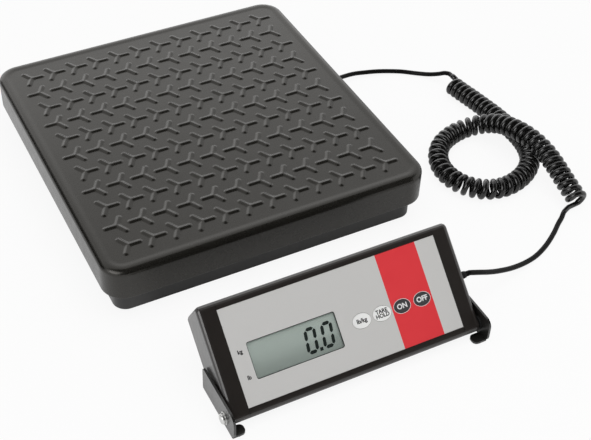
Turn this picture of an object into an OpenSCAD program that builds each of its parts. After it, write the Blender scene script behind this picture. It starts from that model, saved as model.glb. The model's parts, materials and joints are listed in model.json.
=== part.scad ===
/* [Platform] */
// Width of the platform across its front edge
platform_w = 318; // [300:1:350]
// Depth of the platform from front to back
platform_d = 330; // [316:1:360]
// Height of the flat weighing panel above the table
panel_z = 57; // [55:0.5:64]
// Plan radius of the platform's corners
corner_r = 22; // [18:1:30]
// Wall thickness of the moulded cover
cover_wall = 3; // [2:0.1:3.5]
// Height of the skirt's lower edge above the table
skirt_z = 25.5; // [22:0.5:29]
// Width of the border that curves down round the panel
border_w = 11; // [8:0.5:14]
// Height of the border's curve from the skirt to the panel
border_h = 5.5; // [4:0.25:7]

/* [Tread] */
// Raised three-armed ribs in a row, from left to right
tread_cols = 12; // [8:1:12]
// Rows of ribs from front to back
tread_rows = 11; // [7:1:11]
// Distance between ribs in a row
tread_pitch_x = 23.3; // [21:0.1:24]
// Distance between rows
tread_pitch_y = 26.8; // [24:0.1:27.5]
// Length of each arm from the middle of its rib
tread_arm = 13.5; // [9:0.25:13.75]
// Width of an arm
tread_w = 4.5; // [3:0.25:5]
// Height of the ribs above the panel
tread_h = 1.5; // [0.6:0.1:2]

/* [Base] */
// Distance of the base's side inside the skirt
base_inset = 9; // [6:0.5:12]
// Height of the rubber feet under the base
foot_h = 3; // [2:0.5:5]
// Radius of the rubber feet
foot_r = 11; // [8:0.5:14]
// Distance of a foot's centre from the base's sides
foot_inset = 28; // [20:1:34]
// Thickness of the base's floor
floor_t = 3; // [2:0.1:4]
// Wall thickness of the base tray
base_wall = 3; // [2:0.1:4]
// Height of the base tray's rim above the table
base_rim_z = 31; // [29:0.5:34]
// Height of the stiffening ribs on the floor
floor_rib_h = 3; // [2:0.25:4]

/* [Load cells] */
// Length of a load cell's beam
cell_l = 64; // [56:1:72]
// Width of a load cell's beam
cell_w = 16; // [12:0.5:18]
// Height of a load cell's beam
cell_h = 12; // [10:0.5:13]
// Height of a load cell's underside above the table
cell_z = 24; // [20:0.5:26]
// Distance of a load point from the platform's left or right side
button_inset_x = 39; // [36:1:44]
// Distance of a load point from the platform's front or back
button_inset_y = 40; // [36:1:46]
// Radius of the load buttons
button_r = 6; // [4:0.25:7.5]
// Gap between a load button and its cell, taken up as the cell bends
button_gap = 0.5; // [0.35:0.05:0.7]
// Width of the steel rails under the panel
rail_w = 36; // [30:1:40]
// Thickness of the rails' steel
rail_t = 1.6; // [1.2:0.1:2]
// Depth of the rails
rail_h = 9; // [8:0.5:10]

/* [Display] */
// Overall width of the display unit
display_w = 234; // [224:1:250]
// Thickness of the display unit at its top
display_t = 38; // [36:0.5:42]
// Fall of the housing's top from its front to its back
top_fall = 7; // [4:0.5:9]
// Width of each end cap
cap_w = 16; // [15:0.5:20]
// Height of the front panel
overlay_h = 82; // [80:0.5:88]
// Thickness of the front panel
overlay_t = 0.8; // [0.5:0.1:1]
// Width of the frame above and below the front panel
frame_border = 8; // [7:0.25:10]
// Wall thickness of the housing
display_wall = 2.5; // [2.2:0.1:3]
// Radius of the housing's long front edges
front_edge_r = 5; // [3:0.25:5.5]
// Radius of the end caps' outer edges
cap_edge_r = 4; // [2:0.25:5]
// Width of the reading window
window_w = 80; // [70:0.5:84]
// Height of the reading window
window_h = 31; // [26:0.5:34]
// Distance of the window's middle left of the panel's middle, as a share of the panel's width
window_left_share = 0.2298; // [0.22:0.0002:0.25]
// Distance of the window and the keys below the panel's middle
window_low = 6.6; // [2:0.1:8]

/* [Keys] */
// Space between neighbouring oval keys
key_space = 2.4; // [1.5:0.1:5]
// Height of an oval key as a share of its width
key_h_share = 0.735; // [0.6:0.005:0.9]
// Size of the two dark keys as a share of the white ones' size
dark_key_share = 0.88; // [0.8:0.01:1]
// Distance between keys, as a share of the panel's width
key_pitch_share = 0.096; // [0.094:0.0002:0.102]
// Distance of the first key right of the panel's middle, as a share of the panel's width
key_first_share = 0.0713; // [0.056:0.0001:0.08]
// Clearance round a key
key_gap = 0.3; // [0.2:0.05:0.5]
// Travel of a key
key_travel = 0.4; // [0.2:0.05:0.5]

/* [Battery] */
// Radius of a battery
battery_r = 7.1; // [6.5:0.1:7.3]
// Length of a battery without its nub
battery_l = 49.3; // [46:0.1:50]
// Travel of the battery door when it is pulled off
door_travel = 12; // [6:0.5:12]
// Clearance round the battery door
door_gap = 0.3; // [0.2:0.05:0.5]

/* [Stand] */
// Free length of table between the stand's arms and the platform
stand_gap = 97; // [70:1:140]
// Distance of the stand's middle right of the platform's middle
stand_x = 4; // [-20:1:24]
// Tilt of the display's face from the table, in degrees
display_tilt = 43; // [40:0.5:50]
// Length of the stand's side arms
arm_l = 60; // [56:1:66]
// Height of the stand's side arms
arm_h = 25; // [22:0.5:26.5]
// Thickness of the stand's sheet steel
sheet_t = 2; // [1.5:0.1:3]
// Distance of the pivot behind the arms' front edge
pivot_from_front = 16.3; // [14:0.1:18]
// Height of the pivot above the table
pivot_z = 11.6; // [11:0.1:14]
// Distance of the pivot behind the display's face
pivot_back = 6.5; // [6:0.1:8]
// Distance of the pivot above the display's lower edge
pivot_up = 7; // [6.5:0.1:9]
// Radius of the pivot screws' shanks
pivot_r = 2.5; // [1.5:0.1:2.8]
// Radial clearance of the pivot screws in the arms
pivot_gap = 0.06; // [0.02:0.01:0.1]
// Depth of the strip that joins the arms
strip_d = 22; // [16:1:26]
// Distance between the mounting holes in the strip
strip_hole_pitch = 160; // [80:1:190]
// Radius of the mounting holes
strip_hole_r = 2.6; // [1.5:0.1:4]
// Thickness of the stand's rubber pads
pad_t = 1; // [0.5:0.1:1.5]

/* [Cord] */
// Diameter of the cord's leads
cord_d = 4.8; // [3.5:0.1:4.8]
// Diameter of the cord in its curls, where a sleeve covers it
sleeve_d = 5.4; // [4.8:0.1:5.4]
// Outer diameter of the coiled stretch
coil_d = 20.5; // [18:0.1:20.6]
// Whole curls in the coiled stretch
coil_curls = 66; // [45:1:66]
// How far the curls' step departs from its mean, as a share: less at the platform, more at the display
coil_slack = 0.12; // [0:0.01:0.15]

/* [Hidden] */
$fn = 48;
overlap = 0.2;

// The platform stands behind the display, with the origin midway on the table
overall_l = platform_d + stand_gap + arm_l;
platform_y = (overall_l - platform_d) / 2;
arm_front_y = -overall_l / 2;
arm_rear_y = arm_front_y + arm_l;
pivot_y = arm_front_y + pivot_from_front;

black = [0.10, 0.10, 0.10];
charcoal = [0.16, 0.16, 0.155];
steel = [0.62, 0.63, 0.64];
aluminium = [0.75, 0.76, 0.78];
rubber = [0.07, 0.07, 0.07];
board_green = [0.08, 0.32, 0.18];

// Vector and outline helpers
function unit(v) = v / norm(v);
function inward(a, b) = let (u = unit(b - a)) [-u[1], u[0]];
function inset_corner(a, b, c, d) =
    let (n1 = inward(a, b), n2 = inward(b, c)) b + (n1 + n2) * d / (1 + n1 * n2);
function inset_outline(p, d) = [
    for (i = [0:len(p) - 1])
        inset_corner(p[(i + len(p) - 1) % len(p)], p[i], p[(i + 1) % len(p)], d)
];
function corner_arc(a, b, c, r, steps) =
    let (
        u = unit(a - b), v = unit(c - b),
        half = acos(u * v) / 2,
        centre = b + unit(u + v) * r / sin(half),
        from = b + u * r / tan(half) - centre,
        to = b + v * r / tan(half) - centre,
        start = atan2(from[1], from[0]),
        turn = (atan2(to[1], to[0]) - start + 540) % 360 - 180
    )
    [for (k = [0:steps]) centre + r * [cos(start + turn * k / steps), sin(start + turn * k / steps)]];
function rounded_outline(p, radii, steps) = [
    for (i = [0:len(p) - 1])
        each corner_arc(p[(i + len(p) - 1) % len(p)], p[i], p[(i + 1) % len(p)], radii[i], steps)
];
function oval(w, h) = [for (k = [0:31]) [w / 2 * cos(k * 360 / 32), h / 2 * sin(k * 360 / 32)]];

module rounded_rect(w, d, r) {
    square([w - 2 * r, d], center = true);
    square([w, d - 2 * r], center = true);
    for (x = [-1, 1], y = [-1, 1])
        translate([x * (w / 2 - r), y * (d / 2 - r)])
            circle(r);
}

module at_platform() {
    translate([0, platform_y, 0])
        children();
}

// Extrudes an outline of depth and height along the width
module across(x0, x1) {
    translate([x0, 0, 0])
        rotate([90, 0, 90])
            linear_extrude(x1 - x0)
                children();
}

// Platform cover

function border_outline(r, low, high, width, height) = concat(
    [[0, low], [r, low]],
    [for (k = [0:6]) [r - width * (1 - cos(15 * k)), high - height * (1 - sin(15 * k))]],
    [[0, high]]
);

// A block with rounded plan corners whose upper edge follows the border's curve
module bordered_block(w, d, r, low, high, width, height) {
    side = border_outline(r, low, high, width, height);
    translate([-w / 2 + r, -d / 2 + r, low])
        cube([w - 2 * r, d - 2 * r, high - low]);
    for (turn = [0, 180])
        rotate(turn) {
            translate([w / 2 - r, d / 2 - r, 0])
                rotate([90, 0, 0])
                    linear_extrude(d - 2 * r)
                        polygon(side);
            translate([-w / 2 + r, d / 2 - r, 0])
                rotate([90, 0, 90])
                    linear_extrude(w - 2 * r)
                        polygon(side);
            translate([w / 2 - r, d / 2 - r, 0])
                rotate_extrude(angle = 90)
                    polygon(side);
            translate([-w / 2 + r, d / 2 - r, 0])
                rotate(90)
                    rotate_extrude(angle = 90)
                        polygon(side);
        }
}

function rib_outline(heading) = [
    for (arm = [0, 120, 240])
        each concat(
            [tread_w / 2 / sin(60) * [cos(heading + arm - 60), sin(heading + arm - 60)]],
            [for (k = [-2:2])
                (tread_arm - tread_w / 2) * [cos(heading + arm), sin(heading + arm)]
                + tread_w / 2 * [cos(heading + arm + 45 * k), sin(heading + arm + 45 * k)]]
        )
];

module tread_ribs() {
    for (row = [0:tread_rows - 1], col = [0:tread_cols - 1])
        translate([
            (col - (tread_cols - 1) / 2) * tread_pitch_x,
            (row - (tread_rows - 1) / 2) * tread_pitch_y,
            panel_z - overlap
        ])
            linear_extrude(tread_h + overlap)
                polygon(rib_outline(row % 2 == 0 ? 0 : 180));
}

module platform_cover() {
    color(charcoal)
        at_platform() {
            difference() {
                bordered_block(platform_w, platform_d, corner_r, skirt_z, panel_z, border_w, border_h);
                bordered_block(
                    platform_w - 2 * cover_wall, platform_d - 2 * cover_wall, corner_r - cover_wall,
                    skirt_z - 1, panel_z - cover_wall, border_w, border_h
                );
            }
            tread_ribs();
        }
}

// Steel frame under the panel and the buttons that press on the load cells

panel_under_z = panel_z - cover_wall;
rail_low_z = panel_under_z - rail_h;
button_x = platform_w / 2 - button_inset_x;
button_y = platform_d / 2 - button_inset_y;
rail_end_gap = 0.3;
rail_l = platform_d - 2 * (cover_wall + border_w) - 2 * rail_end_gap;
cross_rail_y = platform_d / 5;
button_stem_r = 3;
button_stem_fit = 0.05;
cell_top_z = cell_z + cell_h;

// A channel of pressed steel, open downwards, along the depth
module rail(length) {
    translate([-rail_w / 2, -length / 2, panel_under_z - rail_t])
        cube([rail_w, length, rail_t]);
    for (side = [-1, 1])
        translate([side * (rail_w - rail_t) / 2 - rail_t / 2, -length / 2, rail_low_z])
            cube([rail_t, length, rail_h]);
}

module at_buttons() {
    for (x = [-1, 1], y = [-1, 1])
        translate([x * button_x, y * button_y, 0])
            mirror([x < 0 ? 1 : 0, 0, 0])
                children();
}

module platform_frame() {
    color(steel)
        at_platform()
            difference() {
                union() {
                    for (side = [-1, 1])
                        translate([side * button_x, 0, 0])
                            rail(rail_l);
                    for (side = [-1, 1])
                        translate([0, side * cross_rail_y, 0])
                            rotate(90)
                                rail(2 * button_x - rail_w);
                    at_buttons()
                        translate([-rail_w / 2, -rail_w / 2, rail_low_z])
                            cube([rail_w, rail_w, rail_t]);
                }
                at_buttons()
                    translate([0, 0, rail_low_z - 1])
                        cylinder(r = button_stem_r + button_stem_fit, h = rail_t + 2);
            }
}

module load_buttons() {
    button_low_z = cell_top_z + button_gap;
    chamfer = 1;
    color(rubber)
        at_platform()
            at_buttons()
                rotate_extrude()
                    polygon([
                        [0, button_low_z], [button_r - chamfer, button_low_z],
                        [button_r, button_low_z + chamfer], [button_r, rail_low_z],
                        [button_stem_r, rail_low_z], [button_stem_r, rail_low_z + rail_t + 1],
                        [0, rail_low_z + rail_t + 1]
                    ]);
}

// Base tray

base_w = platform_w - 2 * base_inset;
base_d = platform_d - 2 * base_inset;
base_r = corner_r - base_inset;
base_in_w = base_w - 2 * base_wall;
base_in_d = base_d - 2 * base_wall;
floor_z = foot_h + floor_t;
foot_x = base_w / 2 - foot_inset;
foot_y = base_d / 2 - foot_inset;
foot_stem_r = 3;
foot_stem_fit = 0.05;
cell_overhang = 8;
cell_screw_r = 2;
cell_screw_fit = 0.08;
cell_screw_reach = 12;
cell_screw_x = [cell_overhang - cell_l + 7, cell_overhang - cell_l + 21];
pedestal_l = 28;
gland_y = 51.5;
gland_z = 12;
gland_neck_r = 4;
gland_neck_fit = 0.05;
board_size = [34, 50, 1.6];
board_x = base_w / 2 - 45;
board_z = floor_z + 6;
post_r = 3;
post_in = 4;

module at_feet() {
    for (x = [-1, 1], y = [-1, 1])
        translate([x * foot_x, y * foot_y, 0])
            children();
}

module base_tray() {
    color(black)
        at_platform()
            difference() {
                union() {
                    difference() {
                        translate([0, 0, foot_h])
                            linear_extrude(base_rim_z - foot_h)
                                rounded_rect(base_w, base_d, base_r);
                        translate([0, 0, floor_z])
                            linear_extrude(base_rim_z)
                                rounded_rect(base_in_w, base_in_d, base_r - base_wall);
                    }
                    for (x = [-60, -20, 20])
                        translate([x - 1, -base_d / 2 + base_wall - overlap, floor_z - overlap])
                            cube([2, base_d - 2 * base_wall + 2 * overlap, floor_rib_h + overlap]);
                    for (y = [-90, -45, 0, 90])
                        translate([-base_w / 2 + base_wall - overlap, y - 1, floor_z - overlap])
                            cube([base_w - 2 * base_wall + 2 * overlap, 2, floor_rib_h + overlap]);
                    at_buttons()
                        translate([cell_overhang - cell_l, -cell_w / 2 - 1, floor_z - overlap])
                            cube([pedestal_l, cell_w + 2, cell_z - floor_z + overlap]);
                    for (x = [-1, 1], y = [-1, 1])
                        translate([
                            board_x + x * (board_size[0] / 2 - post_in),
                            gland_y + y * (board_size[1] / 2 - post_in),
                            floor_z - overlap
                        ])
                            cylinder(r = post_r, h = board_z - floor_z + overlap);
                }
                at_buttons()
                    for (x = cell_screw_x)
                        translate([x, 0, cell_z - cell_screw_reach])
                            cylinder(r = cell_screw_r + cell_screw_fit, h = cell_screw_reach + 1);
                at_feet()
                    translate([0, 0, foot_h - 1])
                        cylinder(r = foot_stem_r + foot_stem_fit, h = floor_t + 2);
                translate([base_w / 2 - base_wall - 1, gland_y, gland_z])
                    rotate([0, 90, 0])
                        cylinder(r = gland_neck_r + gland_neck_fit, h = base_wall + 2);
            }
}

module rubber_feet() {
    chamfer = 0.8;
    color(rubber)
        at_platform()
            at_feet()
                rotate_extrude()
                    polygon([
                        [0, 0], [foot_r - chamfer, 0], [foot_r, chamfer], [foot_r, foot_h],
                        [foot_stem_r, foot_h], [foot_stem_r, floor_z], [0, floor_z]
                    ]);
}

// Bending-beam load cells, screwed to the base at their inner ends

module load_cells() {
    waist_r = cell_h / 3.4;
    waist_gap = 2 * waist_r;
    waist_x = cell_overhang - cell_l + pedestal_l + waist_r + 2;
    slot = 1.5;
    color(aluminium)
        at_platform()
            at_buttons()
                difference() {
                    translate([cell_overhang - cell_l, -cell_w / 2, cell_z])
                        cube([cell_l, cell_w, cell_h]);
                    for (x = [waist_x, waist_x + waist_gap])
                        translate([x, cell_w, cell_z + cell_h / 2])
                            rotate([90, 0, 0])
                                cylinder(r = waist_r, h = 2 * cell_w);
                    translate([waist_x, -cell_w, cell_z + cell_h / 2 - slot / 2])
                        cube([waist_gap, 2 * cell_w, slot]);
                    for (x = cell_screw_x)
                        translate([x, 0, cell_z - 1])
                            cylinder(r = cell_screw_r + cell_screw_fit, h = cell_h + 2);
                }
}

module cell_screws() {
    head_r = 3.6;
    head_h = 2.4;
    color(steel)
        at_platform()
            at_buttons()
                for (x = cell_screw_x)
                    translate([x, 0, cell_top_z])
                        rotate_extrude()
                            polygon([
                                [0, -cell_h - cell_screw_reach + 1],
                                [cell_screw_r, -cell_h - cell_screw_reach + 1],
                                [cell_screw_r, 0], [head_r, 0],
                                [head_r, head_h - 0.8], [head_r - 0.8, head_h], [0, head_h]
                            ]);
}

terminal_size = [8, 42, 8];

module junction_board() {
    color(board_green)
        at_platform()
            translate([board_x, gland_y, board_z]) {
                translate([-board_size[0] / 2, -board_size[1] / 2, 0])
                    cube(board_size);
                translate([-board_size[0] / 2, -terminal_size[1] / 2, board_size[2] - overlap])
                    cube(terminal_size + [0, 0, overlap]);
                translate([2, -8, board_size[2] - overlap])
                    cube([10, 16, 2.4 + overlap]);
            }
}

// Swept tubes

function spline(p, steps) = concat(
    [for (i = [0:len(p) - 2])
        let (
            a = i == 0 ? 2 * p[0] - p[1] : p[i - 1],
            b = p[i],
            c = p[i + 1],
            d = i == len(p) - 2 ? 2 * c - b : p[i + 2]
        )
        for (k = [0:steps - 1])
            let (t = k / steps)
            (2 * b + (c - a) * t
                + (2 * a - 5 * b + 4 * c - d) * t * t
                + (3 * b - a - 3 * c + d) * t * t * t) / 2],
    [p[len(p) - 1]]
);
function heading(p, i) = unit(p[min(i + 1, len(p) - 1)] - p[max(i - 1, 0)]);
function level_side(t) = unit(cross([0, 0, 1], t));

// A round tube whose rings stand square to the path, each turned to its own side vector
module swept_tube(path, sides, d, count) {
    points = [
        for (i = [0:len(path) - 1])
            let (
                t = heading(path, i),
                u = unit(sides[i] - (sides[i] * t) * t),
                v = cross(t, u)
            )
            for (k = [0:count - 1])
                path[i] + d / 2 * (cos(k * 360 / count) * u + sin(k * 360 / count) * v)
    ];
    last = (len(path) - 1) * count;
    walls = [
        for (i = [0:len(path) - 2], k = [0:count - 1])
            let (
                a = i * count + k,
                b = i * count + (k + 1) % count
            )
            each [[a, a + count, b + count], [a, b + count, b]]
    ];
    start = [for (k = [1:count - 2]) [0, k, k + 1]];
    end = [for (k = [1:count - 2]) [last, last + k + 1, last + k]];
    polyhedron(points, concat(walls, start, end));
}

module level_tube(path, d, count) {
    swept_tube(path, [for (i = [0:len(path) - 1]) level_side(heading(path, i))], d, count);
}

// Wires from the cells to the terminals, and the cord's tail from its gland

module cell_wires() {
    wire_d = 2.4;
    wire_z = floor_z + floor_rib_h + wire_d;
    terminal_x = board_x - board_size[0] / 2;
    terminal_z = board_z + board_size[2] + terminal_size[2] / 2;
    slot = terminal_size[1] / 5;
    turn_x = terminal_x - 24;
    color(black)
        at_platform() {
            for (x = [-1, 1], y = [-1, 1]) {
                end_x = x * (button_x + cell_overhang - cell_l);
                slot_y = gland_y + y * (2 + x) / 2 * slot;
                level_tube(
                    spline([
                        [end_x, y * button_y, cell_z + cell_h / 2],
                        [end_x - x * 10, y * button_y, cell_z + cell_h / 2 - 2],
                        [end_x - x * 22, y * (button_y - 12), wire_z + 3],
                        [turn_x - 16 + x * 8, slot_y + y * (16 + x * 4), wire_z],
                        [turn_x + 4, slot_y + y * (2 + x * 2), wire_z + 2],
                        [terminal_x - 8, slot_y, terminal_z],
                        [terminal_x, slot_y, terminal_z]
                    ], 3),
                    wire_d, 6
                );
            }
        }
}

gland_nut_r = 5.6;
gland_nut_l = 4;
gland_tip_r = 3;
platform_gland_l = 14;
display_gland_l = 9;
lead_end_gap = 0.1;
platform_gland_x = base_w / 2;

// A flexible tapered sleeve with grooves, ending in a neck and a nut
function gland_outline(wall, length) = concat(
    [[0, -wall - gland_nut_l], [gland_nut_r, -wall - gland_nut_l],
     [gland_nut_r, -wall], [gland_neck_r, -wall], [gland_neck_r, 0],
     [gland_neck_r + 0.6, 0], [gland_neck_r + 0.6, 2]],
    [for (k = [0:floor((length - 5) / 2.4)])
        each let (
            x = 3 + k * 2.4,
            r = gland_neck_r - (gland_neck_r - gland_tip_r) * x / length
        )
        [[r, x - 0.6], [r - 0.4, x], [r - 0.4, x + 0.6], [r - 0.1, x + 1.2]]],
    [[gland_tip_r, length], [0, length]]
);

module platform_gland() {
    color(black)
        at_platform()
            translate([platform_gland_x, gland_y, gland_z])
                rotate([0, 90, 0])
                    rotate_extrude()
                        polygon(gland_outline(base_wall, platform_gland_l));
}

// Cord: a lead from the platform, a coiled stretch that crosses over itself, a lead to the display

COIL_ROUTE = [
    [291, 81, 10.4], [292, 73, 10.4], [294.5, 57.5, 10.4], [297.5, 42, 10.4], [300, 26.5, 10.4],
    [302.5, 9.5, 10.4], [304, -9.5, 10.4], [304.5, -28.5, 10.4], [301.5, -47.5, 10.4], [293.5, -65.5, 10.4],
    [279.5, -79, 10.4], [262.5, -87, 10.4], [246, -89.5, 10.4], [231, -86.5, 10.4], [219.5, -79, 10.4],
    [211, -68, 10.4], [206.5, -54, 10.4], [207, -38, 10.4], [213.5, -22, 10.4], [225, -9, 10.4],
    [239.5, -1, 10.4], [255.5, 3, 10.6], [269.5, 0.5, 13.5], [280.5, -8, 19], [286.5, -20.5, 25.2],
    [289.5, -34.5, 29.9], [292.5, -49.5, 32.2], [296, -64.5, 31.4], [298.5, -80.5, 28], [298.5, -96.5, 24],
    [298, -112, 19.2], [298, -125.5, 14.6], [298.5, -136.5, 10.6]
];
PLATFORM_LEAD_ROUTE = [
    [174, 131, 12], [184, 135, 11], [195, 138.5, 9], [208, 140, 7.5], [221, 139, 6], [236, 136.5, 4.5],
    [250, 132, 3.4], [262, 126, 3], [273.5, 117, 3.2], [283, 106.5, 5.6], [289.5, 97.4, 10],
    [293.2, 91.6, 13.8]
];
DISPLAY_LEAD_ROUTE = [
    [282.5, -138, 3], [276, -143.2, 2.5], [267.5, -149, 2.45], [255.5, -158, 2.45], [239.5, -168, 2.45],
    [223, -175.5, 2.7], [206, -180.5, 5], [187, -185, 10.5], [168.5, -188.5, 18], [156, -190.5, 24],
    [146, -191.5, 29]
];
coil_r = (coil_d - sleeve_d) / 2;
coil_rings = 8;
coil_sides = 6;
coil_in_angle = 45;
coil_steps = coil_curls * coil_rings + 3;
coil_turns = coil_steps / coil_rings;
coil_ramp = 8;
coil_axis = spline(COIL_ROUTE, 10);
coil_s = [
    for (i = 0, s = 0; i < len(coil_axis);
         s = s + (i + 1 < len(coil_axis) ? norm(coil_axis[i + 1] - coil_axis[i]) : 0), i = i + 1) s
];
coil_axis_l = coil_s[len(coil_s) - 1];
coil_tables = [for (k = [0:2]) [for (i = [0:len(coil_s) - 1]) [coil_s[i], coil_axis[i][k]]]];
coil_pitch = (coil_axis_l - sleeve_d - coil_ramp / 2) / coil_turns;
coil_first_pitch = coil_pitch * (1 - coil_slack);

function axis_at(s) = [for (k = [0:2]) lookup(s, coil_tables[k])];
function axis_heading(s) = unit(axis_at(min(s + 2, coil_axis_l)) - axis_at(max(s - 2, 0)));
function out_from_axis(s, angle) =
    let (t = axis_heading(s), u = level_side(t))
    cos(angle) * u + sin(angle) * cross(t, u);
function on_coil(s, angle) = axis_at(s) + coil_r * out_from_axis(s, angle);
function coil_way(turns) = sleeve_d + (
    turns < coil_ramp / (2 * coil_first_pitch)
        ? sqrt(2 * coil_ramp * coil_first_pitch * turns)
        : coil_ramp / 2 + coil_pitch * turns * (1 - coil_slack + coil_slack * turns / coil_turns)
);
coil_helix = [
    for (k = [0:coil_steps])
        on_coil(coil_way(k / coil_rings), coil_in_angle - k * 360 / coil_rings)
];
coil_last_step = unit(coil_helix[coil_steps] - coil_helix[coil_steps - 1]);
coil_out_heading = [coil_last_step[0], coil_last_step[1], 0];
coil_start = on_coil(0, coil_in_angle);
coil_end = coil_helix[coil_steps] + unit(coil_out_heading) * sleeve_d;
coil_path = concat([coil_start], coil_helix, [coil_end]);
coil_outward = concat(
    [out_from_axis(0, coil_in_angle)],
    [for (k = [0:coil_steps]) out_from_axis(coil_way(k / coil_rings), coil_in_angle - k * 360 / coil_rings)],
    [out_from_axis(coil_axis_l, coil_in_angle - coil_steps * 360 / coil_rings)]
);
least_coil_gap = min([
    for (i = [0:coil_steps - 4])
        min([for (j = [i + 4:coil_steps]) norm(coil_helix[i] - coil_helix[j])])
]) - sleeve_d;

module coiled_cord() {
    echo(least_coil_gap = least_coil_gap, coil_pitch = coil_pitch);
    color(black)
        swept_tube(coil_path, coil_outward, sleeve_d, coil_sides);
}

module platform_lead() {
    start = [platform_gland_x + platform_gland_l, platform_y + gland_y, gland_z];
    into_coil = unit(coil_helix[0] - coil_start);
    last = coil_start - cord_d * into_coil;
    bends = spline(concat([start + [cord_d, 0, 0]], PLATFORM_LEAD_ROUTE, [last]), 2);
    color(black)
        level_tube(concat([start], bends, [coil_start]), cord_d, 8);
}

// Display unit, in a frame whose origin is the pivot, with the face upwards along Y

display_low = -pivot_up;
display_high = display_low + overlay_h + 2 * frame_border;
face_z = pivot_back;
back_z = face_z - display_t;
panel_mid = (display_low + display_high) / 2;
overlay_w = display_w - 2 * cap_w;
lip_z = -6.2;
back_low = 34;
panel_sink = 0.2;
panel_seat_z = face_z - panel_sink - overlay_t;
front_inside_z = face_z - display_wall;
body_corners = [
    [display_high, face_z], [display_low, face_z], [display_low, lip_z],
    [back_low, back_z], [display_high - top_fall, back_z]
];
body_radii = [front_edge_r, front_edge_r, 4, 5, 4];
window_x = -window_left_share * overlay_w;
window_y = panel_mid - window_low;
window_corner_r = 2;
window_ledge = 2;
key_count = 4;
key_pitch = key_pitch_share * overlay_w;
key_first = key_first_share * overlay_w;
key_w = key_pitch - key_space;
key_h = key_h_share * key_w;
key_sizes = [1, 1, dark_key_share, dark_key_share];
display_gland_y = 41;
display_gland_z = -8.5;

function body_outline(inset) = rounded_outline(
    inset_outline(body_corners, inset),
    [for (r = body_radii) max(r - inset, 0.8)],
    5
);

module at_display() {
    translate([stand_x, pivot_y, pivot_z])
        rotate([display_tilt, 0, 0])
            children();
}

function key_oval(i, gap) = oval(key_sizes[i] * key_w + 2 * gap, key_sizes[i] * key_h + 2 * gap);

module at_key(i) {
    translate([key_first + i * key_pitch, window_y, 0])
        children();
}

door_w = 2 * battery_l + 10;
door_h = 4 * battery_r + 5;
door_x = -18;
door_y = (back_low + display_high - top_fall) / 2;
box_wall = 2;
box_d = 2 * battery_r + 1.5;
back_inside_z = back_z + display_wall;

module display_housing() {
    plunger_r = 4;
    key_well = 0.8;
    color(charcoal)
        at_display()
            difference() {
                across(-overlay_w / 2, overlay_w / 2)
                    polygon(body_outline(0));
                across(-overlay_w / 2 - 1, overlay_w / 2 + 1)
                    polygon(body_outline(display_wall));
                translate([-overlay_w, panel_mid - overlay_h / 2, panel_seat_z])
                    cube([2 * overlay_w, overlay_h, display_t]);
                translate([window_x, window_y, front_inside_z - 1])
                    linear_extrude(display_t)
                        square([window_w + 2 * window_ledge, window_h + 2 * window_ledge], center = true);
                for (i = [0:key_count - 1])
                    at_key(i) {
                        translate([0, 0, front_inside_z - 1])
                            cylinder(r = plunger_r, h = display_t);
                        translate([0, 0, panel_seat_z - key_well])
                            linear_extrude(display_t)
                                polygon(key_oval(i, key_gap));
                    }
                translate([door_x - door_w / 2 - door_gap, door_y - door_h / 2 - door_gap, back_z - 1])
                    cube([door_w + 2 * door_gap, door_h + 2 * door_gap, display_wall + 2]);
            }
}

// End caps: the housing's outline with rounded outer edges, hollow behind a pivot boss

pivot_boss_r = 5.8;
thread_fit = 0.05;
cap_floor = 3;
pivot_reach = 14;

module end_cap(side) {
    inner_x = overlay_w / 2;
    outer_x = display_w / 2;
    mirror([side < 0 ? 1 : 0, 0, 0])
        difference() {
            union() {
                difference() {
                    hull() {
                        across(inner_x, outer_x - cap_edge_r)
                            polygon(body_outline(0));
                        for (a = [22.5, 45, 67.5, 90])
                            across(inner_x, outer_x - cap_edge_r * (1 - sin(a)))
                                polygon(body_outline(cap_edge_r * (1 - cos(a))));
                    }
                    across(inner_x - 1, outer_x - cap_floor)
                        polygon(body_outline(display_wall + cap_edge_r / 2));
                }
                translate([inner_x, 0, 0])
                    rotate([0, 90, 0])
                        cylinder(r = pivot_boss_r, h = cap_w - 1);
            }
            translate([outer_x - pivot_reach, 0, 0])
                rotate([0, 90, 0])
                    cylinder(r = pivot_r + thread_fit, h = pivot_reach + 1);
            if (side > 0)
                translate([outer_x - cap_floor - 1, display_gland_y, display_gland_z])
                    rotate([0, 90, 0])
                        cylinder(r = gland_neck_r + gland_neck_fit, h = cap_floor + 2);
        }
}

module left_end_cap() {
    color(charcoal)
        at_display()
            end_cap(-1);
}

module right_end_cap() {
    color(charcoal)
        at_display()
            end_cap(1);
}

module display_gland() {
    color(black)
        at_display()
            translate([display_w / 2, display_gland_y, display_gland_z])
                rotate([0, 90, 0])
                    rotate_extrude()
                        polygon(gland_outline(cap_floor, display_gland_l));
}

module display_lead() {
    tip = [
        stand_x + display_w / 2 + display_gland_l + lead_end_gap,
        pivot_y + display_gland_y * cos(display_tilt) - display_gland_z * sin(display_tilt),
        pivot_z + display_gland_y * sin(display_tilt) + display_gland_z * cos(display_tilt)
    ];
    bends = spline(concat(
        [coil_end + unit(coil_out_heading) * cord_d], DISPLAY_LEAD_ROUTE, [tip + [cord_d, 0, 0]]
    ), 2);
    color(black)
        level_tube(concat([coil_end], bends, [tip]), cord_d, 8);
}

// Front panel, reading window, liquid-crystal module and circuit board

panel_fit = 0.1;

module front_panel() {
    color([0.74, 0.74, 0.73])
        at_display()
            translate([0, 0, panel_seat_z])
                linear_extrude(overlay_t)
                    difference() {
                        translate([0, panel_mid])
                            square([overlay_w, overlay_h - 2 * panel_fit], center = true);
                        translate([window_x, window_y])
                            rounded_rect(window_w, window_h, window_corner_r);
                        for (i = [0:key_count - 1])
                            at_key(i)
                                polygon(key_oval(i, key_gap));
                    }
}

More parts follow.
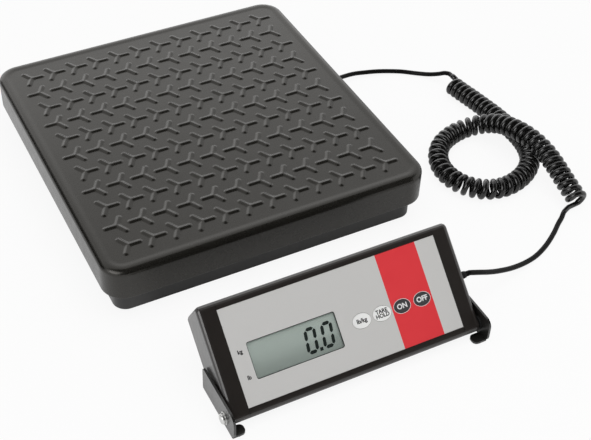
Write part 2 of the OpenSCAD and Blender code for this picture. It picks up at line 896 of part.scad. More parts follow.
module display_window() {
    seat = 2 * (window_ledge - panel_fit);
    color([0.85, 0.9, 0.9, 0.3])
        at_display()
            translate([window_x, window_y, front_inside_z])
                linear_extrude(panel_seat_z - front_inside_z)
                    square([window_w + seat, window_h + seat], center = true);
}

lcd_t = 3;
board_front_z = front_inside_z - lcd_t;
main_board_t = 1.6;

module lcd_module() {
    margin = 5;
    color([0.56, 0.62, 0.58])
        at_display()
            translate([window_x, window_y, front_inside_z - lcd_t])
                linear_extrude(lcd_t)
                    square([window_w + 2 * margin, window_h + 2 * margin], center = true);
}

module main_board() {
    board_margin = 5;
    chip = [22, 22, 3];
    color(board_green)
        at_display() {
            translate([
                -overlay_w / 2 + board_margin, display_low + 2 * display_wall + board_margin,
                board_front_z - main_board_t
            ])
                cube([
                    overlay_w - 2 * board_margin,
                    display_high - display_low - 4 * display_wall - 2 * board_margin,
                    main_board_t
                ]);
            translate([55, panel_mid, board_front_z - main_board_t - chip[2]])
                cube(chip + [0, 0, overlap]);
            translate([10, panel_mid + 8, board_front_z - main_board_t - 6])
                cube([18, 8, 6 + overlap]);
        }
}

key_stem_low_z = panel_seat_z - 1.4;
switch_top_z = key_stem_low_z - key_travel - 0.3;

module key_switches() {
    body = 6;
    plunger_r = 1.75;
    body_h = switch_top_z - board_front_z - 0.5;
    color([0.2, 0.2, 0.2])
        at_display()
            for (i = [0:key_count - 1])
                at_key(i) {
                    translate([-body / 2, -body / 2, board_front_z])
                        cube([body, body, body_h]);
                    translate([0, 0, board_front_z])
                        cylinder(r = plunger_r, h = switch_top_z - board_front_z);
                }
}

// An oval key cap with a stem over its switch
module key_cap(i) {
    stem_r = 2.5;
    key_proud = 0.1;
    at_display()
        at_key(i) {
            translate([0, 0, panel_seat_z])
                linear_extrude(overlay_t + key_proud)
                    polygon(key_oval(i, 0));
            translate([0, 0, key_stem_low_z])
                cylinder(r = stem_r, h = panel_seat_z - key_stem_low_z + overlap);
        }
}

module units_key() {
    color([0.93, 0.93, 0.92])
        key_cap(0);
}

module tare_key() {
    color([0.93, 0.93, 0.92])
        key_cap(1);
}

module on_key() {
    color([0.2, 0.2, 0.21])
        key_cap(2);
}

module off_key() {
    color([0.2, 0.2, 0.21])
        key_cap(3);
}

// Battery box behind the back wall, two by two cells, and the door that closes it

module at_battery_box() {
    at_display()
        translate([door_x, door_y, back_inside_z])
            children();
}

module battery_box() {
    inner = [door_w, door_h - 1, box_d];
    color(black)
        at_battery_box()
            difference() {
                translate([-inner[0] / 2 - box_wall, -inner[1] / 2 - box_wall, 0])
                    cube(inner + [2 * box_wall, 2 * box_wall, box_wall]);
                translate([-inner[0] / 2, -inner[1] / 2, -1])
                    cube(inner + [0, 0, 1]);
            }
}

module batteries() {
    nub_r = 2.7;
    nub_l = 1.2;
    seat_gap = 0.1;
    color([0.55, 0.5, 0.35])
        at_battery_box()
            for (row = [-1, 1], col = [-1, 1])
                translate([
                    col * (battery_l + nub_l) / 2 - (battery_l + nub_l) / 2,
                    row * (battery_r + 0.4), box_d - battery_r - seat_gap
                ])
                    rotate([0, 90, 0])
                        rotate_extrude()
                            polygon([
                                [0, 0.05], [battery_r, 0.05], [battery_r, battery_l], [nub_r, battery_l],
                                [nub_r, battery_l + nub_l], [0, battery_l + nub_l]
                            ]);
}

module battery_contacts() {
    plate = [0.5, 10, 12];
    spring_r = 3;
    color(steel)
        at_battery_box()
            for (row = [-1, 1], side = [-1, 1])
                translate([side * door_w / 2, row * (battery_r + 0.4), box_d - battery_r]) {
                    translate([side > 0 ? -plate[0] : 0, -plate[1] / 2, -plate[2] / 2])
                        cube(plate);
                    translate([side > 0 ? -3 : 0, 0, 0])
                        rotate([0, 90, 0])
                            cylinder(r = spring_r, h = 3);
                }
}

module battery_door() {
    finger_r = 5;
    color(charcoal)
        at_battery_box()
            difference() {
                translate([-door_w / 2, -door_h / 2, -display_wall])
                    cube([door_w, door_h, display_wall - 0.2]);
                translate([0, door_h / 2 - 8, -display_wall - finger_r + 1.2])
                    rotate([0, 90, 0])
                        cylinder(r = finger_r, h = 24, center = true);
            }
}

// Stand: two arms joined by a strip on the table, with a small foot turned in at each arm's front

washer_gap = 0.1;
spacer_t = 0.9;
arm_in = display_w / 2 + spacer_t + washer_gap;
arm_low_z = pad_t;
foot_tab = [10.5, 10];
foot_tab_back = 2.2;
arm_radii = [7, 1.5, 3, 7];

module at_arms() {
    for (side = [-1, 1])
        translate([stand_x, 0, 0])
            mirror([side < 0 ? 1 : 0, 0, 0])
                children();
}

module stand_bracket() {
    tab_r = 4;
    arm_corners = [
        [arm_front_y, arm_low_z], [arm_rear_y, arm_low_z],
        [arm_rear_y, arm_low_z + arm_h], [arm_front_y, arm_low_z + arm_h]
    ];
    color(black)
        difference() {
            union() {
                at_arms() {
                    across(arm_in, arm_in + sheet_t)
                        polygon(rounded_outline(arm_corners, arm_radii, 5));
                    translate([arm_in - foot_tab[0], arm_front_y + foot_tab_back, arm_low_z])
                        linear_extrude(sheet_t)
                            polygon(rounded_outline(
                                [
                                    [0, 0], [foot_tab[0] + sheet_t, 0],
                                    [foot_tab[0] + sheet_t, foot_tab[1]], [0, foot_tab[1]]
                                ],
                                [tab_r, 1, 1, tab_r], 5
                            ));
                }
                translate([stand_x - arm_in - sheet_t / 2, arm_rear_y - strip_d, arm_low_z])
                    cube([2 * arm_in + sheet_t, strip_d - 1.5, sheet_t]);
            }
            translate([stand_x - arm_in - sheet_t - 1, pivot_y, pivot_z])
                rotate([0, 90, 0])
                    cylinder(r = pivot_r + pivot_gap, h = 2 * (arm_in + sheet_t + 1));
            for (side = [-1, 1])
                translate([stand_x + side * strip_hole_pitch / 2, arm_rear_y - strip_d / 2, arm_low_z - 1])
                    cylinder(r = strip_hole_r, h = sheet_t + 2);
        }
}

module stand_pads() {
    pad_r = 4.5;
    strip_pad_in = 20;
    color(rubber)
        at_arms() {
            translate([arm_in - pad_r, arm_front_y + foot_tab_back + foot_tab[1] / 2, 0])
                cylinder(r = pad_r, h = pad_t);
            translate([arm_in - strip_pad_in, arm_rear_y - strip_d / 2, 0])
                cylinder(r = pad_r, h = pad_t);
        }
}

head_washer_t = 0.8;
head_washer_r = 5.6;
washer_bore = pivot_r + 0.1;

// Turned pieces of the pivot, along the width outwards from an arm's outer face
module at_pivots() {
    at_display()
        for (side = [-1, 1])
            mirror([side < 0 ? 1 : 0, 0, 0])
                translate([arm_in + sheet_t, 0, 0])
                    rotate([0, 90, 0])
                        children();
}

module pivot_screws() {
    head_r = 4.6;
    head_h = 3.2;
    seat = washer_gap + head_washer_t;
    tip = display_w / 2 - pivot_reach + 1 - (arm_in + sheet_t);
    color(steel)
        at_pivots()
            rotate_extrude()
                polygon(concat(
                    [[0, tip], [pivot_r, tip], [pivot_r, seat], [head_r, seat]],
                    [for (a = [0:15:90]) [head_r - 1.6 + 1.6 * cos(a), seat + head_h - 1.6 + 1.6 * sin(a)]],
                    [[0, seat + head_h]]
                ));
}

module head_washers() {
    color(steel)
        at_pivots()
            translate([0, 0, washer_gap])
                difference() {
                    cylinder(r = head_washer_r, h = head_washer_t);
                    translate([0, 0, -1])
                        cylinder(r = washer_bore, h = head_washer_t + 2);
                }
}

module spacer_washers() {
    spacer_r = 6.5;
    color([0.85, 0.85, 0.8])
        at_pivots()
            translate([0, 0, -sheet_t - washer_gap - spacer_t])
                difference() {
                    cylinder(r = spacer_r, h = spacer_t);
                    translate([0, 0, -1])
                        cylinder(r = washer_bore, h = spacer_t + 2);
                }
}

platform_cover();
platform_frame();
load_buttons();
base_tray();
rubber_feet();
load_cells();
cell_screws();
junction_board();
cell_wires();
platform_gland();
platform_lead();
coiled_cord();
display_lead();
display_housing();
left_end_cap();
right_end_cap();
display_gland();
front_panel();
display_window();
lcd_module();
main_board();
key_switches();
units_key();
tare_key();
on_key();
off_key();
battery_box();
batteries();
battery_contacts();
battery_door();
stand_bracket();
stand_pads();
pivot_screws();
head_washers();
spacer_washers();
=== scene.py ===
import json
import math

import bpy
import numpy as np
from mathutils import Matrix, Vector


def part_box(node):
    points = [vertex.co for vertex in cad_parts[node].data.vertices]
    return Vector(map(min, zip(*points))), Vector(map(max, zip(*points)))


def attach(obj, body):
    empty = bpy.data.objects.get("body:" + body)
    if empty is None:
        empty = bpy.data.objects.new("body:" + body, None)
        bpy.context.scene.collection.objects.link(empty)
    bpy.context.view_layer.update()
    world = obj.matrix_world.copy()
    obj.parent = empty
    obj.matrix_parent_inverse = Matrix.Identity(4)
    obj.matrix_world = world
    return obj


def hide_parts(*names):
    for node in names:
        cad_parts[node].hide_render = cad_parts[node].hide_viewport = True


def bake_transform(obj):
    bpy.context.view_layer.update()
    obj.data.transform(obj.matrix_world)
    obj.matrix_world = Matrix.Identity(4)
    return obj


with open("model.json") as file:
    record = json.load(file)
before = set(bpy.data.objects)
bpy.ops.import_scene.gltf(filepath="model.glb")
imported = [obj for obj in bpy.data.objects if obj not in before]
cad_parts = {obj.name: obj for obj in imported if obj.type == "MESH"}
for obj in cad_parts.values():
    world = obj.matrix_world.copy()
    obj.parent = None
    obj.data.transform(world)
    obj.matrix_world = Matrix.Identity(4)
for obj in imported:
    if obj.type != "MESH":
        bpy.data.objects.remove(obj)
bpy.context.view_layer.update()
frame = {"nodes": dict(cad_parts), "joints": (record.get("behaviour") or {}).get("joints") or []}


# Base tray: the lower half of the platform, which stands on the floor and carries the load cells.
# It is a black injection moulding with a fine spark-eroded grain, seen as a strip under the skirt.

MM = 0.001


def ink(red, green, blue):
    """A colour given as it looks on a screen, 0 to 255, as the linear colour that shaders take."""
    screen = [channel / 255 for channel in (red, green, blue)]
    return [c / 12.92 if c <= 0.04045 else ((c + 0.055) / 1.055) ** 2.4 for c in screen] + [1]


class Value:
    """An output of a shader node. Arithmetic on it adds Math nodes to the same tree."""

    def __init__(self, owner, socket):
        self.owner = owner
        self.socket = socket

    def math(self, operation, *terms):
        return self.owner.node("ShaderNodeMath", {"operation": operation}, dict(enumerate(terms)))

    def size(self):
        """The value without its sign."""
        return self.math("ABSOLUTE", self)

    def __add__(self, other):
        return self.math("ADD", self, other)

    def __sub__(self, other):
        return self.math("SUBTRACT", self, other)

    def __rsub__(self, other):
        return self.math("SUBTRACT", other, self)

    def __mul__(self, other):
        return self.math("MULTIPLY", self, other)

    def __gt__(self, other):
        return self.math("GREATER_THAN", self, other)

    def __lt__(self, other):
        return self.math("LESS_THAN", self, other)

    __radd__ = __add__
    __rmul__ = __mul__


class Nodes:
    """A tree of shader nodes."""

    def __init__(self, tree):
        self.tree = tree

    def node(self, kind, settings=(), inputs=(), output=0):
        made = self.tree.nodes.new(kind)
        for name, value in dict(settings).items():
            setattr(made, name, value)
        for key, value in dict(inputs).items():
            self.feed(self.pick(made.inputs, key), value)
        return Value(self, self.pick(made.outputs, output))

    @staticmethod
    def pick(sockets, key):
        if isinstance(key, int):
            return sockets[key]
        return next(socket for socket in sockets if socket.name == key and socket.enabled)

    def feed(self, socket, value):
        if isinstance(value, Value):
            self.tree.links.new(value.socket, socket)
        else:
            socket.default_value = value


class Finish(Nodes):
    """A material whose shader takes constants on its own sockets and nodes where the surface varies."""

    def __init__(self, name, **constants):
        self.material = bpy.data.materials.new(name)
        self.material.use_nodes = True
        super().__init__(self.material.node_tree)
        self.shader = self.tree.nodes["Principled BSDF"]
        self.coat(**constants)
        self.place = self.node("ShaderNodeTexCoord", output="Object")

    def noise(self, size, detail=3, at=None):
        """Noise from 0 to 1 whose blotches are about that many metres across."""
        inputs = {"Vector": at or self.place, "Scale": 1 / size, "Detail": detail}
        return self.node("ShaderNodeTexNoise", {}, inputs)

    def mix(self, mask, below, above):
        inputs = {"Factor": mask, "A": below, "B": above}
        return self.node("ShaderNodeMix", {"data_type": "RGBA"}, inputs, output="Result")

    def along(self, direction, origin=(0, 0, 0)):
        """Distance from a point along a direction, in metres."""
        terms = {0: self.place, 1: tuple(origin)}
        offset = self.node("ShaderNodeVectorMath", {"operation": "SUBTRACT"}, terms)
        terms = {0: offset, 1: tuple(direction)}
        return self.node("ShaderNodeVectorMath", {"operation": "DOT_PRODUCT"}, terms, "Value")

    def bump(self, height, depth):
        inputs = {"Height": height, "Distance": depth, "Strength": 1.0}
        self.coat(Normal=self.node("ShaderNodeBump", {}, inputs))

    def coat(self, **varying):
        for socket, value in varying.items():
            self.feed(self.shader.inputs[socket.replace("_", " ")], value)

    def on(self, *objects):
        for obj in objects:
            obj.data.materials.clear()
            obj.data.materials.append(self.material)
        return self


def moulding(name, colour, roughness, grain=0.5 * MM, relief=0.03 * MM, gloss=0.3, sheen=(1, 1, 1, 1)):
    """Moulded plastic: a fine grain, and faint clouds in its colour and sheen."""
    made = Finish(name, Specular_IOR_Level=gloss, Specular_Tint=sheen)
    clouds = made.noise(40 * MM)
    pale = [min(1, channel * 1.25) for channel in colour[:3]] + [1]
    made.coat(
        Base_Color=made.mix(clouds, colour, pale),
        Roughness=roughness - 0.06 + 0.12 * made.noise(9 * MM))
    made.bump(made.noise(grain, detail=2), relief)
    return made


moulding("tray_black", ink(24, 23, 21), 0.36, gloss=0.5).on(frame["nodes"]["base_tray"])


# Feet and pads: soft black rubber discs, moulded with a dull face, under the base's corners and the stand.
# The feet have stems pushed into holes in the base, and the pads are glued on.

def soft_rubber(name, colour):
    """Dull moulded rubber."""
    return moulding(name, colour, 0.75, grain=0.3 * MM, gloss=0.25)


soft_rubber("foot_rubber", ink(30, 30, 30)).on(frame["nodes"]["rubber_feet"], frame["nodes"]["stand_pads"])


# Load cells: four machined aluminium beams on the base, each held by two zinc-plated screws.
# The buttons under the platform press on their free ends, and their wires meet on a small board.

def bare_metal(name, colour, roughness, direction, metallic=1.0):
    """Metal with fine marks of the tool along one direction."""
    made = Finish(name, Metallic=metallic)
    stretch = made.node("ShaderNodeMapping", {}, {"Vector": made.place, "Scale": direction})
    marks = made.noise(0.4 * MM, at=stretch)
    dark = [channel * 0.8 for channel in colour[:3]] + [1]
    made.coat(Base_Color=made.mix(marks, dark, colour), Roughness=roughness - 0.08 + 0.16 * marks)
    made.bump(marks, 0.01 * MM)
    return made


def circuit_board(name, mask, copper):
    """Solder mask over copper tracks, which show as a faint paler net."""
    made = Finish(name, Roughness=0.35)
    grid = made.node("ShaderNodeTexBrick", {}, {"Vector": made.place, "Scale": 160.0}, output="Fac")
    made.coat(Base_Color=made.mix(grid * 0.7 + 0.2 * made.noise(2 * MM), mask, copper))
    made.bump(grid, 0.03 * MM)
    return made


bare_metal("cell_aluminium", ink(205, 206, 208), 0.35, (1, 0.05, 1)).on(frame["nodes"]["load_cells"])
bare_metal("screw_zinc", ink(214, 214, 212), 0.25, (1, 1, 1)).on(
    frame["nodes"]["cell_screws"], frame["nodes"]["battery_contacts"])
circuit_board("board_mask", ink(22, 84, 48), ink(54, 128, 74)).on(
    frame["nodes"]["junction_board"], frame["nodes"]["main_board"])
moulding("wire_sheath", ink(34, 34, 34), 0.4).on(frame["nodes"]["cell_wires"])


# Platform frame and load buttons: channels of pressed zinc-plated steel that stiffen the cover from
# inside, with a black rubber button in each corner over a load cell.

bare_metal("frame_zinc", ink(176, 178, 180), 0.42, (1, 0.1, 1)).on(frame["nodes"]["platform_frame"])
soft_rubber("button_rubber", ink(28, 28, 28)).on(frame["nodes"]["load_buttons"])


# Platform cover: one charcoal moulding with a flat panel, a border that rolls down to the edge and a
# deep skirt that hangs over the base. A finely textured mould gives it a satin, slightly cloudy face.

COVER_WALL = 3 * MM
CORNER_RADIUS = 22 * MM
BORDER_WIDTH = 6.5 * MM
BORDER_HEIGHT = 5.5 * MM
RIM_HEIGHT = 0.35 * MM
RIM_SLOPE = 6 * MM
PANEL_DEPTH = 1.5 * MM
PANEL_EDGE = 8 * MM
SKIRT_LIP = 0.5 * MM

cover_low, cover_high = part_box("platform_cover")
cover_middle = (cover_low + cover_high) / 2
panel_z = cover_high.z - PANEL_DEPTH


def show(name, points, faces, finish, smooth=True):
    """A mesh object in the row frame, with its finish."""
    mesh = bpy.data.meshes.new(name)
    mesh.from_pydata([tuple(p) for p in points], [], faces)
    mesh.validate()
    mesh.polygons.foreach_set("use_smooth", [smooth] * len(mesh.polygons))
    obj = bpy.data.objects.new(name, mesh)
    bpy.context.scene.collection.objects.link(obj)
    finish.on(obj)
    return obj


def cover_loop(inset, height, steps=12):
    """The platform's outline with rounded corners, moved in by inset, at one height."""
    half_x = (cover_high.x - cover_low.x) / 2 - inset
    half_y = (cover_high.y - cover_low.y) / 2 - inset
    radius = max(CORNER_RADIUS - inset, 2 * MM)
    points = []
    for quarter in range(4):
        turn = quarter * math.pi / 2
        side_x = (1, -1, -1, 1)[quarter] * (half_x - radius)
        side_y = (1, 1, -1, -1)[quarter] * (half_y - radius)
        for step in range(steps + 1):
            a = turn + step / steps * math.pi / 2
            points.append((
                cover_middle.x + side_x + radius * math.cos(a),
                cover_middle.y + side_y + radius * math.sin(a), height))
    return points


def skin_through(loops):
    """Points and faces of a closed skin through loops of equal length."""
    count = len(loops[0])
    points = [p for loop in loops for p in loop]
    faces = []
    for row in range(len(loops) - 1):
        for k in range(count):
            a, b = row * count + k, row * count + (k + 1) % count
            faces.append((a, b, b + count, a + count))
    faces.append(tuple(reversed(range(count))))
    faces.append(tuple(range(len(points) - count, len(points))))
    return points, faces


def border_curve(start, top, steps):
    """Insets and heights on the quarter curve from the skirt up to the panel."""
    return [
        (start + BORDER_WIDTH * (1 - math.cos(a)), top - BORDER_HEIGHT * (1 - math.sin(a)))
        for a in (math.pi / 2 * k / steps for k in range(steps + 1))
    ]


inner = border_curve(COVER_WALL, panel_z - COVER_WALL, 6)
skirt_edge = [
    (COVER_WALL, cover_low.z + SKIRT_LIP), (COVER_WALL - SKIRT_LIP, cover_low.z),
    (SKIRT_LIP, cover_low.z), (0, cover_low.z + SKIRT_LIP), (0, cover_low.z + 2 * SKIRT_LIP),
    (0, panel_z - BORDER_HEIGHT - 2 * SKIRT_LIP),
]
rim_fall = [
    (BORDER_WIDTH + RIM_SLOPE * share, panel_z + RIM_HEIGHT * (1 + math.cos(math.pi * share)) / 2)
    for share in (k / 10 for k in range(1, 11))
]
outline = [(BORDER_WIDTH + RIM_SLOPE, panel_z - COVER_WALL)] + inner[::-1] + skirt_edge
outline += border_curve(0, panel_z + RIM_HEIGHT, 18) + rim_fall
outline.append((BORDER_WIDTH + RIM_SLOPE + PANEL_EDGE, panel_z))
points, faces = skin_through([cover_loop(inset, z) for inset, z in outline])
charcoal = moulding("cover_charcoal", ink(24, 23, 20), 0.27, grain=0.7 * MM, relief=0.012 * MM, gloss=0.5,
                    sheen=(1, 0.97, 0.92, 1))
cover = show("platform_cover_skin", points, faces, charcoal)
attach(cover, "platform")
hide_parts("platform_cover")


# Tread: low three-armed ribs moulded in the panel, in rows that point left and right in turn.
# Each rises from the panel in a soft fillet to a rounded ridge.

RIB_COLUMNS = 12
RIB_ROWS = 11
RIB_PITCH_X = 23.3 * MM
RIB_PITCH_Y = 26.8 * MM
RIB_REACH = 14 * MM
RIB_FOOT = 3.3 * MM
RIB_HEIGHT = 1.25 * MM
RIB_FILLET = 4 * MM
RIB_SINK = 0.01 * MM
ridge_shares = (1, 0.9, 0.78, 0.64, 0.5, 0.36, 0.22, 0.1, 0)


def rib_outline():
    """Points round a rib's foot, each with the point of the ridge that the surface rises to from there."""
    tip = RIB_REACH - RIB_FOOT
    fillet_reach = (RIB_FOOT + RIB_FILLET) / math.sin(math.tau / 6)
    arm_start = fillet_reach * math.cos(math.tau / 6)
    pairs = []
    for arm in range(3):
        heading = arm * math.tau / 3
        along = Vector((math.cos(heading), math.sin(heading)))
        aside = Vector((-along.y, along.x))
        for share in (0.25, 0.5, 0.75):
            place = arm_start + share * (tip - arm_start)
            pairs.append((place * along - RIB_FOOT * aside, place * along))
        for k in range(-5, 6):
            a = heading + k * math.pi / 10
            pairs.append((tip * along + RIB_FOOT * Vector((math.cos(a), math.sin(a))), tip * along))
        for share in (0.75, 0.5, 0.25):
            place = arm_start + share * (tip - arm_start)
            pairs.append((place * along + RIB_FOOT * aside, place * along))
        bisector = heading + math.tau / 6
        centre = fillet_reach * Vector((math.cos(bisector), math.sin(bisector)))
        for k in range(-4, 5):
            a = bisector + math.pi - k * math.radians(30 / 4)
            spoke = heading if k < 0 else heading + math.tau / 3
            ridge = abs(k) / 4 * arm_start * Vector((math.cos(spoke), math.sin(spoke)))
            pairs.append((centre + RIB_FILLET * Vector((math.cos(a), math.sin(a))), ridge))
    return pairs


outline = rib_outline()
points, faces = [], []
for row in range(RIB_ROWS):
    for column in range(RIB_COLUMNS):
        middle = Vector((
            cover_middle.x + (column - (RIB_COLUMNS - 1) / 2) * RIB_PITCH_X,
            cover_middle.y + (row - (RIB_ROWS - 1) / 2) * RIB_PITCH_Y))
        turn = 1 if row % 2 == 0 else -1
        first, count = len(points), len(outline)
        for share in ridge_shares:
            rise = (1 + math.cos(math.pi * share)) / 2
            for edge, ridge in outline:
                flat = middle + turn * (ridge + share * (edge - ridge))
                points.append((flat.x, flat.y, panel_z + rise * RIB_HEIGHT - RIB_SINK))
        for ring in range(len(ridge_shares) - 1):
            for k in range(count):
                a, b = first + ring * count + k, first + ring * count + (k + 1) % count
                faces.append((a, b, b + count, a + count))
tread = show("tread_ribs", points, faces, charcoal)
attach(tread, "platform")


# Cord: one black vinyl cord from the base to the display, wound in curls over most of its length, where a
# thicker sleeve covers it. The curled stretch lies on the floor in a loop and climbs over itself.

CORD_DIAMETER = 4.8 * MM
SLEEVE_DIAMETER = 5.8 * MM
SLEEVE_END = 0.6 * MM
CURL_DIAMETER = 20.6 * MM
CURLS = 69
CURL_START = 3 * MM
CURL_RAMP = 8 * MM
CURL_OPENING = 0.12
OPENING_LENGTH = 40 * MM
CURL_ENTRY = math.radians(45)
EXTRA_TURN = 3 / 8
BEND_SMOOTHING = 41
CURL_ROUTE = [
    (291, 81, 10.4), (292, 73, 10.4), (294.5, 57.5, 10.4), (297.5, 42, 10.4), (300, 26.5, 10.4),
    (302.5, 9.5, 10.4), (304, -9.5, 10.4), (304.5, -28.5, 10.4), (301.5, -47.5, 10.4), (293.5, -65.5, 10.4),
    (279.5, -79, 10.4), (262.5, -87, 10.4), (246, -89.5, 10.4), (231, -86.5, 10.4), (219.5, -79, 10.4),
    (211, -68, 10.4), (206.5, -54, 10.4), (207, -38, 10.4), (213.5, -22, 10.4), (225, -9, 10.4),
    (239.5, -1, 10.4), (255.5, 3, 10.6), (269.5, 0.5, 13.5), (280.5, -8, 19), (286.5, -20.5, 25.2),
    (289.5, -34.5, 29.9), (292.5, -49.5, 32.2), (296, -64.5, 31.4), (298.5, -80.5, 28), (298.5, -96.5, 24),
    (298, -112, 19.2), (298, -125.5, 14.6), (298.5, -136.5, 10.6),
]
PLATFORM_LEAD_ROUTE = [
    (174, 131, 12), (184, 135, 11), (195, 138.5, 9), (208, 140, 7.5), (221, 139, 6), (236, 136.5, 4.5),
    (250, 132, 3.4), (262, 126, 3), (273.5, 117, 3.2), (283, 106.5, 5.6), (289.5, 97.4, 10),
    (293.2, 91.6, 13.8),
]
DISPLAY_LEAD_ROUTE = [
    (282.5, -138, 3), (276, -143.2, 2.5), (267.5, -149, 2.45), (255.5, -158, 2.45), (239.5, -168, 2.45),
    (223, -175.5, 2.7), (206, -180.5, 5), (187, -185, 10.5), (168.5, -188.5, 18), (156, -190.5, 24),
    (146, -191.5, 29),
]


def metres(route):
    """A route in millimetres as points in metres."""
    return np.array(route, float) * MM


def spline(route, steps):
    """Points on a smooth curve through the route's points."""
    padded = np.vstack([2 * route[0] - route[1], route, 2 * route[-1] - route[-2]])
    t = (np.arange(steps) / steps)[:, None]
    runs = []
    for a, b, c, d in zip(padded, padded[1:], padded[2:], padded[3:]):
        squared = (2 * a - 5 * b + 4 * c - d) * t**2
        cubed = (3 * b - a - 3 * c + d) * t**3
        runs.append((2 * b + (c - a) * t + squared + cubed) / 2)
    return np.vstack(runs + [route[-1:]])


def unit(vectors):
    return vectors / np.linalg.norm(vectors, axis=-1, keepdims=True)


curl_axis = spline(metres(CURL_ROUTE), 10)
curl_reach = np.concatenate([[0], np.linalg.norm(np.diff(curl_axis, axis=0), axis=1).cumsum()])
curl_radius = (CURL_DIAMETER - SLEEVE_DIAMETER) / 2
heading = unit(np.gradient(curl_axis, axis=0))
bend = np.linalg.norm(np.gradient(heading, axis=0), axis=1) / np.gradient(curl_reach)
bend = np.convolve(bend, np.ones(BEND_SMOOTHING) / BEND_SMOOTHING, "same")


def axis_at(reach):
    """Points on the curled stretch's axis, at distances along it."""
    return np.stack([np.interp(reach, curl_reach, curl_axis[:, k]) for k in range(3)], axis=-1)


def on_curl(reach, angle):
    """Points of the cord wound round the curled stretch's axis."""
    reach = np.asarray(reach, float)
    ahead = unit(axis_at(np.minimum(reach + 2 * MM, curl_reach[-1])) - axis_at(np.maximum(reach - 2 * MM, 0)))
    side = unit(np.cross([0, 0, 1], ahead))
    up = np.cross(ahead, side)
    out = np.cos(angle)[..., None] * side + np.sin(angle)[..., None] * up
    return axis_at(reach) + curl_radius * out


RINGS_PER_CURL = 20
turns = np.arange(0, (CURLS + EXTRA_TURN) * RINGS_PER_CURL + 0.5) / RINGS_PER_CURL
along = np.linspace(CURL_START, curl_reach[-1], len(turns))
winding = np.clip((along - CURL_START) / CURL_RAMP, 0, 1)
winding *= 1 - curl_radius * np.interp(along, curl_reach, bend)
winding *= 1 - CURL_OPENING * np.clip(1 - (curl_reach[-1] - along) / OPENING_LENGTH, 0, 1)
wound = winding.cumsum()
curl = on_curl(np.interp(turns, wound / wound[-1] * turns[-1], along), CURL_ENTRY - math.tau * turns)
curl_start = on_curl(np.array([0.0]), np.array([CURL_ENTRY]))[0]
into_curl = unit(curl[0] - curl_start)
out_of_curl = unit((curl[-1] - curl[-2]) * [1, 1, 0])
platform_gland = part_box("platform_gland")
display_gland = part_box("display_gland")
platform_end = np.array([platform_gland[1].x, *((platform_gland[0] + platform_gland[1]) / 2)[1:]])
display_end = np.array([display_gland[1].x, *((display_gland[0] + display_gland[1]) / 2)[1:]])
straight = np.array([CORD_DIAMETER, 0, 0])
platform_lead = spline(np.vstack([
    platform_end + straight, metres(PLATFORM_LEAD_ROUTE), curl_start - CORD_DIAMETER * into_curl]), 6)
display_lead = spline(np.vstack([
    curl[-1] + 2 * CORD_DIAMETER * out_of_curl, metres(DISPLAY_LEAD_ROUTE), display_end + straight]), 6)
cord_path = np.vstack([
    platform_end, platform_lead, curl_start, curl_start + SLEEVE_END * into_curl, curl,
    curl[-1] + CORD_DIAMETER * out_of_curl, display_lead, display_end])
sleeve_first = len(platform_lead) + 2
thickness = np.full(len(cord_path), CORD_DIAMETER)
thickness[sleeve_first:sleeve_first + len(curl)] = SLEEVE_DIAMETER


def tube(path, diameters, sides):
    """Loops of a round tube whose frame turns no more than the path does."""
    ahead = unit(np.gradient(path, axis=0))
    ahead[0], ahead[-1] = unit(path[1] - path[0]), unit(path[-1] - path[-2])
    side = np.array([0, 1.0, 0])
    angles = np.arange(sides) / sides * math.tau
    loops = []
    for point, t, diameter in zip(path, ahead, diameters):
        side = unit(side - side.dot(t) * t)
        loops.append(point + diameter / 2 * (
            np.cos(angles)[:, None] * side + np.sin(angles)[:, None] * np.cross(t, side)))
    return loops


vinyl = Finish("cord_vinyl", Specular_IOR_Level=0.1, Coat_IOR=1.52, Coat_Roughness=0.2)
forward = vinyl.along((0, 1, 0))
sleeved = (forward > curl_axis[-1][1] - SLEEVE_DIAMETER / 2) * (forward < curl_axis[0][1])
vinyl.coat(
    Coat_Weight=sleeved,
    Base_Color=vinyl.mix(vinyl.noise(30 * MM), ink(14, 14, 14), ink(22, 21, 20)),
    Roughness=0.2 + 0.08 * vinyl.noise(4 * MM))
vinyl.bump(vinyl.noise(1.5 * MM), 0.02 * MM)
points, faces = skin_through(tube(cord_path, thickness, 14))
cord = show("coiled_cord_skin", points, faces, vinyl)
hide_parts("platform_lead", "coiled_cord", "display_lead")
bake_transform(cord)
soft_rubber("gland_rubber", ink(30, 30, 30)).on(
    frame["nodes"]["platform_gland"], frame["nodes"]["display_gland"])


# Stand: a bracket bent from black powder-coated sheet steel. Its arms hold the display between two
# zinc-plated pan-head screws, each with a steel washer outside and a nylon one inside.

powder = Finish("stand_powder_coat", Coat_Weight=0.5, Coat_Roughness=0.2)
orange_peel = powder.noise(1.1 * MM, detail=1)
powder.coat(
    Base_Color=powder.mix(powder.noise(30 * MM), ink(26, 25, 24), ink(34, 33, 31)),
    Roughness=0.26 + 0.12 * powder.noise(6 * MM))
powder.bump(orange_peel, 0.02 * MM)
powder.on(frame["nodes"]["stand_bracket"])
bare_metal("pivot_zinc", ink(226, 226, 224), 0.36, (1, 1, 1)).on(
    frame["nodes"]["pivot_screws"], frame["nodes"]["head_washers"])
moulding("spacer_nylon", ink(36, 36, 36), 0.45).on(frame["nodes"]["spacer_washers"])


# Display housing: a long black lacquered extrusion with a cap on each end. The battery door fills an
# opening in its back, over a box with two pairs of round batteries.

joints = {joint["name"]: joint for joint in frame["joints"]}
pivot = Vector(joints["display_tilt"]["pos_m"])
inward = Vector(joints["units_key_press"]["axis"]).normalized()
face_right = Vector((1, 0, 0))
face_up = face_right.cross(inward)
display_frame = Matrix((face_right, face_up, -inward)).transposed().to_4x4()
display_frame.translation = pivot


